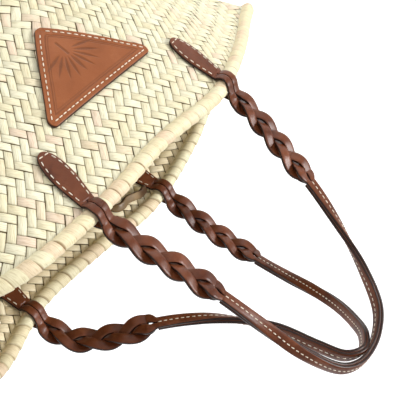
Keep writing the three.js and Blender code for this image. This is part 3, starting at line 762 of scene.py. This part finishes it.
def catmull_points(rows, samples):
    """Centripetal Catmull-Rom curve through the rows, with an equal number of samples in each span."""
    ends = np.concatenate([[2 * rows[0] - rows[1]], rows, [2 * rows[-1] - rows[-2]]])
    p0, p1, p2, p3 = ends[:-3], ends[1:-2], ends[2:-1], ends[3:]
    gap = lambda a, b: np.sqrt(np.linalg.norm(b - a, axis=1))[:, None]
    d0, d1, d2 = gap(p0, p1), gap(p1, p2), gap(p2, p3)
    t1 = ((p1 - p0) / d0 - (p2 - p0) / (d0 + d1) + (p2 - p1) / d1) * d1
    t2 = ((p2 - p1) / d1 - (p3 - p1) / (d1 + d2) + (p3 - p2) / d2) * d1
    t = (np.arange(samples) / samples)[None, :, None]
    p1, p2, t1, t2 = (value[:, None] for value in (p1, p2, t1, t2))
    curve = p1 + t1 * t + (-3 * p1 + 3 * p2 - 2 * t1 - t2) * t**2 + (2 * p1 - 2 * p2 + t1 + t2) * t**3
    return np.concatenate([curve.reshape(-1, 3), rows[-1:]])


def make_handle(name, is_back, twist):
    """A handle's curve from its left foot over the top to its right foot."""
    top = BASKET_HEIGHT + HANDLE_RISE - (2 * LEATHER + 3 * SEAM if is_back else 0.0)
    legs = {}
    feet = {}
    for side_name, side in (("left", -1), ("right", 1)):
        rows = np.array(LEGS[name, side_name])
        feet[side] = lap_at(side * rows[0, 0] * HANDLE_SPACING / 2, is_back)
        foot = rim_point(feet[side])
        legs[side] = np.stack([side * rows[:, 0] * HANDLE_SPACING / 2,
                               mix(foot[1], HANDLE_MEETING_DEPTH, rows[:, 2]),
                               mix(foot[2], top, rows[:, 1])], -1)
    curve = catmull_points(np.concatenate([legs[-1], legs[1][-2::-1]]), 60)
    return {"name": name + "_handle", "is_back": is_back, "twist": twist, "feet": feet, "curve": curve,
            "run": run_along(curve)}


def spine(handle, side, rise):
    """Places along one end of a handle: below the rim on the wall, above it on the handle's curve."""
    rise = np.asarray(rise, float)
    lap = handle["feet"][side]
    face = outward(lap) * (-1 if handle["is_back"] else 1)
    face = mix(face, FRONT, smoothstep(0, BRAID_END, rise)[..., None])
    climb = np.maximum(rise, 0)
    above = at_run(handle["curve"], handle["run"], climb if side < 0 else handle["run"][-1] - climb)
    below = hang_point(np.full(rise.shape, lap), np.maximum(-rise, 0))
    return np.where((rise > 0)[..., None], above, below), unit(face)


def spine_frame(handle, side, rise):
    """Point, normal and across direction of the spine, square to its course."""
    point, face = spine(handle, side, rise)
    course = unit(spine(handle, side, rise + RISE_STEP)[0] - spine(handle, side, rise - RISE_STEP)[0])
    normal = unit(face - course * along(face, course))
    return point, normal, -np.cross(course, normal)


def stand_off(rise):
    """How far a layer's middle lies from the spine: on the wall, over the roll, or on its twin."""
    on_wall, on_twin = WALL / 2 + SEAT + LEATHER / 2, (LEATHER + SEAM) / 2
    rest = mix(on_wall, on_twin, smoothstep(-ROLL_RADIUS, ROLL_RADIUS, rise))
    radius = ROLL_RADIUS + ROLL_SEAT + LEATHER / 2
    arc = np.sqrt(np.maximum(radius**2 - rise**2, 0.0))
    return np.hypot(np.maximum(rest, arc), np.minimum(rest, arc) / 3)


def loop_off(rise, layer):
    """Stand-off of a strand: past the rim it leaves the roll in a loop, longer behind than in front."""
    end = FRONT_LOOP_END if layer > 0 else REAR_LOOP_END
    loop = stand_off(np.zeros(1)) * (1.0 - smoothstep(0.0, end, rise))
    return np.where(rise > 0, np.maximum(stand_off(rise), loop), stand_off(rise))


def square_up(place, face):
    """Normal and across direction of a path of points: the face direction made square to the path."""
    course = unit(np.gradient(place, axis=0))
    normal = unit(face - course * along(face, course))
    return course, normal, -np.cross(course, normal)


def layer_points(handle, side, rise, layer, sideways=0.0):
    """Points of a leather layer's middle, some way sideways."""
    point, normal, across = spine_frame(handle, side, rise)
    return point + normal * (layer * stand_off(rise))[..., None] + across * np.asarray(sideways)[..., None]


def tab_width(share):
    """Width of a tab at a share of its length from its tip, rounded off at the tip."""
    tip = 0.42 * np.sqrt(np.clip(share / 0.03, 0, 1))
    return TAB_WIDTH * np.where(share < 0.03, tip, read(TAB_ROWS[:, 0], TAB_ROWS[:, 1], share))


STITCH_INSET = 2.4
TAB_STITCH_PITCH = 5.4


def build_tab(handle, side, side_name, layer, layer_name):
    """A stitched leaf-shaped tab on one face of the wall."""
    name = f"{handle['name']}_{side_name}_{layer_name}_tab"
    length = TAB_LENGTH - TAB_TOP
    share = np.concatenate([0.03 * np.linspace(0.02, 1, 6)**2, np.linspace(0.03, 1.0, 40)[1:]])
    rise = -TAB_LENGTH + share * length
    middle = layer_points(handle, side, rise, layer)
    _, face, _ = spine_frame(handle, side, rise)
    _, normal, across = square_up(middle, face)
    tab = strip(name + "_leather", middle, across, normal, tab_width(share), LEATHER, HANDLE_LEATHER,
                "handle_leather")
    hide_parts(name)
    walk = np.linspace(0.97, 0.075, 120)
    reach = np.maximum(tab_width(walk) / 2 - STITCH_INSET, 0.0)
    path = np.concatenate([np.stack([walk * length, reach], 1),
                           np.stack([walk[::-1] * length, -reach[::-1]], 1)])
    run = run_along(path)
    count = int(run[-1] / TAB_STITCH_PITCH)
    where = (np.arange(count) + 0.5) * run[-1] / count
    spots = []
    for shift in (-0.8, 0.0, 0.8):
        spot = at_run(path, run, where + shift)
        at = spot[:, 0] - TAB_LENGTH
        face_at = spine_frame(handle, side, at)[1]
        raised = face_at * layer * (LEATHER / 2 + 0.12)
        spots.append(layer_points(handle, side, at, layer, spot[:, 1]) + raised)
    stitches(name + "_stitches", spots[1], spots[2] - spots[0], face_at * layer, "handle_leather", 3.8, 0.45)


# In the plait a strand swells until it touches its neighbours.
PLUMP_WIDTH = 1.8
PLUMP_THICKNESS = 0.3


def build_strand(handle, side, side_name, number):
    """One strand of a braid: from its tab over the roll, up the plait and into the strap.

    In the plait it swings sideways as a sine and in and out as a sine of twice the phase."""
    name = f"{handle['name']}_{side_name}_strand_{number}"
    tab_seat, tab_layer, strap_seat, strap_layer, first_phase = STRANDS[number]
    start, end = GATHER_START + GATHER_LENGTH, BRAID_END - GATHER_LENGTH
    rise = np.linspace(-TAB_TOP - 1.0, BRAID_END + 0.5, 150)
    point, face, across = spine_frame(handle, side, rise)
    phase = np.radians(first_phase) + 2 * np.pi * BRAID_CYCLES * np.clip((rise - start) / (end - start), 0, 1)
    into, out = (rise - GATHER_START) / GATHER_LENGTH, (rise - end) / GATHER_LENGTH
    swing = (BRAID_WIDTH - STRAND_WIDTH) / 2 * np.sin(phase)
    x = mix(tab_seat * (STRAND_WIDTH + SEAM) / 2, swing, smoothstep(0, 0.7, into))
    z = mix(tab_layer * loop_off(rise, tab_layer), BRAID_SWING * np.sin(2 * phase), smoothstep(0.3, 1, into))
    x = mix(x, strap_seat * (STRAP_WIDTH + SEAM) / 4, smoothstep(0.2, 1, out))
    z = mix(z, strap_layer * (LEATHER + SEAM) / 2, smoothstep(0, 0.85, out))
    tilt = BRAID_TILT * np.cos(phase) * smoothstep(0, 1, into) * (1 - smoothstep(0, 1, out))
    middle = point + across * x[:, None] + face * z[:, None]
    _, normal, across = square_up(middle, face - across * tilt[:, None])
    plump = smoothstep(0, 1, into) * (1 - smoothstep(0, 1, out))
    width = mix(STRAND_WIDTH, (STRAP_WIDTH - SEAM) / 2, smoothstep(0, 1, out)) + PLUMP_WIDTH * plump
    strand = strip(name + "_leather", middle, across, normal, width, LEATHER + PLUMP_THICKNESS * plump,
                   HANDLE_LEATHER, "handle_leather")
    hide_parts(name)


def strap_places(handle, layer, run):
    """Places of one strap layer: the face turns a quarter from the braids to the top."""
    length = handle["run"][-1]
    curve = at_run(handle["curve"], handle["run"], run)
    ahead, behind = (at_run(handle["curve"], handle["run"], run + step) for step in (0.5, -0.5))
    course = unit(ahead - behind)
    from_end = np.minimum(run, length - run)
    quarter = (np.pi / 2 * smoothstep(BRAID_END, length * TURN_SHARE, from_end))[:, None]
    face = unit(FRONT - course * along(FRONT, course))
    outside = np.cross(face, course) * handle["twist"]
    normal = unit(face * np.cos(quarter) + outside * np.sin(quarter))
    return curve + normal * layer * (LEATHER + SEAM) / 2, course, normal, -np.cross(course, normal)


STRAP_STITCH_PITCH = 4.4


def build_strap(handle, layer, layer_name):
    """One leather layer of a strap, with a row of stitches along its middle."""
    name = f"{handle['name']}_{layer_name}_strap"
    length = handle["run"][-1]
    run = np.linspace(BRAID_END, length - BRAID_END, 220)
    point, _, normal, across = strap_places(handle, layer, run)
    strap = strip(name + "_leather", point, across, normal, STRAP_WIDTH, LEATHER + SEAM, HANDLE_LEATHER,
                  "handle_leather")
    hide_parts(name)
    count = int((length - 2 * BRAID_END) / STRAP_STITCH_PITCH)
    spots = BRAID_END + (np.arange(count) + 0.5) * (length - 2 * BRAID_END) / count
    point, course, normal, _ = strap_places(handle, layer, spots)
    stitches(name + "_stitches", point + normal * layer * (LEATHER / 2 + 0.22), course, normal * layer,
             "handle_leather", 2.9, 0.42)


def build_handles():
    """Both handles: straps, tabs and braids at each end."""
    for name, is_back, twist in (("front", False, 1), ("back", True, -1)):
        handle = make_handle(name, is_back, twist)
        layer_names = {1: "inner", -1: "outer"} if is_back else {1: "outer", -1: "inner"}
        for layer in (1, -1):
            build_strap(handle, layer, layer_names[layer])
        for side_name, side in (("left", -1), ("right", 1)):
            for layer in (1, -1):
                build_tab(handle, side, side_name, layer, layer_names[layer])
            for number in (1, 2, 3):
                build_strand(handle, side, side_name, number)


# Front patch

def patch_half_width(down):
    """Half width of the rounded triangle at a distance below its top side, and the triangle's height.

    An arc at each top corner and one at the tip, each running past its centre to the slanted side."""
    slope = PATCH_WIDTH / 2 / PATCH_HEIGHT
    slant = np.hypot(1, slope)
    corner_x = PATCH_WIDTH / 2 * (1 - PATCH_CORNER / PATCH_HEIGHT) - PATCH_CORNER * slant
    tip_depth = PATCH_HEIGHT * (1 - PATCH_CORNER * slant / (PATCH_WIDTH / 2))
    arc_reach = PATCH_CORNER * slope / slant
    straight = PATCH_WIDTH / 2 * (1 - down / PATCH_HEIGHT)
    corner = corner_x + np.sqrt(np.maximum(PATCH_CORNER**2 - (down - PATCH_CORNER)**2, 0))
    tip = np.sqrt(np.maximum(PATCH_CORNER**2 - (down - tip_depth)**2, 0))
    width = np.where(down < PATCH_CORNER + arc_reach, corner, straight)
    return np.where(down > tip_depth + arc_reach, tip, width), tip_depth + PATCH_CORNER


def patch_place(x, down, height):
    """Point on the patch: on the wall at a place across and below the rim, raised by a height."""
    x, down, height = np.broadcast_arrays(x, down, height)
    lap = lap_at(x, False)
    below = rim_point(lap)[..., 2] - BASKET_HEIGHT + PATCH_DROP + down
    return hang_point(lap, below) + outward(lap) * (WALL / 2 + SEAT + height)[..., None]


def border_distance(x, down):
    """Distance inside the sharp triangle's nearest side."""
    slope = np.arctan2(PATCH_HEIGHT, PATCH_WIDTH / 2)
    sides = (PATCH_WIDTH / 2 * (1 - down / PATCH_HEIGHT) - np.abs(x)) * np.sin(slope)
    return np.minimum(down, sides)


def palm_mark(x, down):
    """A plain fan of leaflets from a short stem; a leaflet's half width is a sine of the way along it."""
    root = 41.0
    depth = np.zeros(np.broadcast(x, down).shape)
    for turn in np.radians(np.linspace(-78, 78, 9)):
        length = 25.0 + 7.0 * np.abs(np.sin(turn))
        reach = x * np.sin(turn) + (root - down) * np.cos(turn)
        off = x * np.cos(turn) - (root - down) * np.sin(turn)
        share = np.clip((reach - 5.0) / (length - 5.0), 0, 1)
        half = 1.55 * np.sin(np.pi * share**0.8)
        depth = np.maximum(depth, smoothstep(0.0, 0.8, half - np.abs(off)) * (reach > 5.0) * (reach < length))
    stem = smoothstep(0.0, 0.6, 1.0 - np.abs(x)) * smoothstep(root - 5, root - 4, down)
    stem = stem * (1 - smoothstep(root + 8, root + 9, down))
    return np.maximum(depth, stem)


PATCH_STITCH_INSET = 3.7
# Embossed lines: inset from the sharp triangle, width and share of the depth
PATCH_LINES = ((7.2, 0.55, 1.0), (8.9, 0.4, 0.8))
LINE_DEPTH = 0.3
SEAM_DEPTH = 0.18
MARK_DEPTH = 0.34


def front_patch():
    """Leather triangle: rows across it and an even back, with rounded borders, embossed lines and a mark."""
    rows, columns = 150, 260
    _, height = patch_half_width(np.array(0.0))
    down = height * (1 - np.cos(np.linspace(0.02, np.pi - 0.02, rows))) / 2
    down = mix(down, np.linspace(down[0], down[-1], rows), 0.75)
    reach = np.maximum(patch_half_width(down)[0], 0.05)
    across = np.sin(np.linspace(-1, 1, columns) * np.pi / 2)
    across = mix(across, np.linspace(-1, 1, columns), 0.7)
    x = reach[:, None] * across[None, :]
    d = np.broadcast_to(down[:, None], x.shape)
    inner = np.minimum(reach[:, None] - np.abs(x), np.minimum(d, (height - d)))
    rim = np.clip(inner / 1.1, 0, 1)
    thick = LEATHER * (0.35 + 0.65 * np.sqrt(1 - (1 - rim)**2))
    line_at = border_distance(x, d)
    line = sum(depth * np.exp(-((line_at - inset) / width)**2) for inset, width, depth in PATCH_LINES)
    seam = np.exp(-((line_at - PATCH_STITCH_INSET) / 0.7)**2)
    mark = palm_mark(x, d)
    front = patch_place(x, d, thick - LINE_DEPTH * line - SEAM_DEPTH * seam - MARK_DEPTH * mark)
    back = patch_place(x[:, ::-1], d, LEATHER * 0.08)
    rings = np.concatenate([front, back], 1)
    points, faces = closed_tube(rings, rings[0].mean(0), rings[-1].mean(0))
    edge = np.concatenate([np.clip(1.0 - inner / 0.9, 0, 1), np.ones_like(inner)], 1).ravel()
    # Painted shade in the embossed lines and the mark, darker than the rest of the face.
    press = np.concatenate([np.clip(line + mark, 0, 1), np.zeros_like(line)], 1).ravel()
    patch = make_piece("front_patch_leather", points, faces, PATCH_LEATHER, "patch_leather",
                       edge=np.append(edge, [1, 1]), press=np.append(press, [0, 0]))
    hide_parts("front_patch")


def patch_stitches():
    """Stitches along a triangle inside the patch's border, each side with a stitch at both its ends."""
    slope = np.arctan2(PATCH_HEIGHT, PATCH_WIDTH / 2)
    half = PATCH_WIDTH / 2 - PATCH_STITCH_INSET / np.tan(slope / 2)
    tip = PATCH_HEIGHT - PATCH_STITCH_INSET / np.cos(slope)
    cut = 0.975
    corners = np.array([(-half, PATCH_STITCH_INSET), (half, PATCH_STITCH_INSET), (0.0, tip)])
    centres, courses = [], []
    for a, b, count in ((0, 1, 23), (1, 2, 15), (2, 0, 15)):
        shares = mix(1 - cut, cut, (np.arange(count) + 0.5) / count)[:, None]
        centres.append(mix(corners[a], corners[b], shares))
        courses.append(np.repeat([corners[b] - corners[a]], count, 0))
    centres, courses = np.concatenate(centres), unit(np.concatenate(courses))
    spot = patch_place(centres[:, 0], centres[:, 1], LEATHER + 0.05)
    ahead = patch_place(centres[:, 0] + courses[:, 0], centres[:, 1] + courses[:, 1], LEATHER + 0.05)
    normal = outward(lap_at(centres[:, 0], False))
    stitches("front_patch_stitches", spot, ahead - spot, normal, "patch_leather", 3.7, 0.48)


def closing_strap():
    """Closing strap inside the mouth: a stitched strip from the back left tab whose end turns downwards."""
    start = -HANDLE_SPACING / 2 + TAB_WIDTH / 2
    lap = lap_at(start + CLOSING_ROWS[:, 0] * CLOSING_STRAP_REACH, True)
    stand = WALL / 2 + LEATHER / 2 + SEAM + CLOSING_ROWS[:, 1] * CLOSING_STRAP_SAG
    rows = hang_point(lap, CLOSING_ROWS[:, 2] * CLOSING_STRAP_DROP) - outward(lap) * stand[:, None]
    curve = catmull_points(rows, 40)
    run = run_along(curve)
    place = at_run(curve, run, np.linspace(0, run[-1], 140))
    face = unit(np.array([0.0, -1.0, 1.0]))
    course, normal, across = square_up(place, face)
    # Painted shade on the strap's first stretch, where it leaves the back tab inside the mouth under the rim.
    dark_start = 2.0 * (1.0 - smoothstep(0.2, 0.42, np.linspace(0, 1, len(place))))
    strap = strip("closing_strap_leather", place, across, normal, CLOSING_STRAP_WIDTH, LEATHER + 1.2,
                  CLOSING_LEATHER, "closing_leather", press=dark_start)
    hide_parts("closing_strap")
    where = np.linspace(4, 128, 11).astype(int)
    for label, offset in (("upper", 2.2), ("lower", -2.2)):
        spots = place[where] + across[where] * offset + normal[where] * 1.15
        stitches(f"closing_strap_{label}_stitches", spots, course[where], normal[where], "closing_leather",
                 2.6, 0.42)


basket_core()
wall_plait()
base_plait()
rim_wraps()
build_handles()
front_patch()
patch_stitches()
closing_strap()


# Stage, lights and camera

FLOOR_SIDES = 96


def stage_floor():
    """Pale floor: flat in the middle and rising smoothly far away, as a photographer's sweep does."""
    turns = np.arange(FLOOR_SIDES) * 2 * np.pi / FLOOR_SIDES
    radius = np.concatenate([[0.02], np.linspace(0.5, 7.0, 40)])
    height = 0.55 * np.maximum(radius - 2.6, 0)**2
    points = np.stack([radius[:, None] * np.cos(turns), radius[:, None] * np.sin(turns),
                       np.broadcast_to(height[:, None], (len(radius), FLOOR_SIDES))], -1) / METRES
    faces = grid_faces(len(radius), FLOOR_SIDES, close_columns=True).tolist() + [list(range(FLOOR_SIDES))]
    material, tree, shader = new_material("pale_floor")
    place = node(tree, "TexCoord").outputs["Object"]
    noise = node(tree, "TexNoise", {"Vector": place, "Scale": 3.0, "Detail": 2.0})
    tree.links.new(ramp(tree, noise.outputs["Fac"], [(0.3, (0.9, 0.9, 0.9)), (0.7, (0.93, 0.93, 0.93))]),
                   shader.inputs["Base Color"])
    shader.inputs["Roughness"].default_value = 0.8
    shader.inputs["Emission Color"].default_value = (1, 1, 1, 1)
    seen = node(tree, "LightPath").outputs["Is Camera Ray"]
    tree.links.new(math_node(tree, "MULTIPLY", seen, 0.5), shader.inputs["Emission Strength"])
    floor = make_piece("floor", points.reshape(-1, 3), faces, material, None)


LIGHT_AIM = (0.0, 0.0, 0.3)


def area_light(name, place, size, power):
    """A square soft light at a place in metres, turned towards the bag."""
    light = bpy.data.lights.new(name, "AREA")
    light.shape = "SQUARE"
    light.size = size
    light.energy = power
    lamp = bpy.data.objects.new(name, light)
    bpy.context.collection.objects.link(lamp)
    back = unit(np.subtract(place, LIGHT_AIM))
    side = unit(np.cross((0.0, 0.0, 1.0), back))
    turn = Matrix(np.stack([side, np.cross(back, side), back], 1).tolist()).to_4x4()
    lamp.matrix_world = Matrix.Translation(place) @ turn


# Camera: place in metres; azimuth, elevation and roll in degrees; focal length and width in pixels
CAMERA_PLACE = (0.5794, -0.6301, 0.4416)
CAMERA_TURNS = (44.5, 6.7, 126.67)
CAMERA_FOCAL = 1108.7
CAMERA_PIXELS = 416
SENSOR_WIDTH = 36.0


def photo_camera():
    """Camera at the photograph's place, turned by its azimuth, elevation and roll."""
    azimuth, elevation, roll = np.radians(CAMERA_TURNS)
    ahead = np.array([-np.sin(azimuth) * np.cos(elevation), np.cos(azimuth) * np.cos(elevation),
                      -np.sin(elevation)])
    right = np.array([np.cos(azimuth), np.sin(azimuth), 0.0])
    up = np.cross(right, ahead)
    x = np.cos(roll) * right + np.sin(roll) * up
    y = -np.sin(roll) * right + np.cos(roll) * up
    camera = bpy.data.cameras.new("photo_camera")
    camera.sensor_fit = "HORIZONTAL"
    camera.sensor_width = SENSOR_WIDTH
    camera.lens = CAMERA_FOCAL * SENSOR_WIDTH / CAMERA_PIXELS
    camera.clip_end = 50.0
    holder = bpy.data.objects.new("photo_camera", camera)
    bpy.context.collection.objects.link(holder)
    turn = Matrix(np.stack([x, y, -ahead], 1).tolist()).to_4x4()
    holder.matrix_world = Matrix.Translation(CAMERA_PLACE) @ turn
    bpy.context.scene.camera = holder


def studio():
    """A white world, a key from the bag's left, a weak fill from its front right and one from behind."""
    world = bpy.data.worlds.new("studio")
    world.use_nodes = True
    background = world.node_tree.nodes["Background"]
    background.inputs["Color"].default_value = (1, 1, 1, 1)
    background.inputs["Strength"].default_value = 0.6
    bpy.context.scene.world = world
    area_light("key", (-1.3, -1.5, 2.2), 0.8, 74.0)
    area_light("fill", (1.7, -2.0, 1.2), 2.0, 6.0)
    area_light("back", (0.6, 2.2, 1.6), 1.6, 16.0)
    bpy.context.scene.view_settings.view_transform = "Standard"


stage_floor()
studio()
photo_camera()
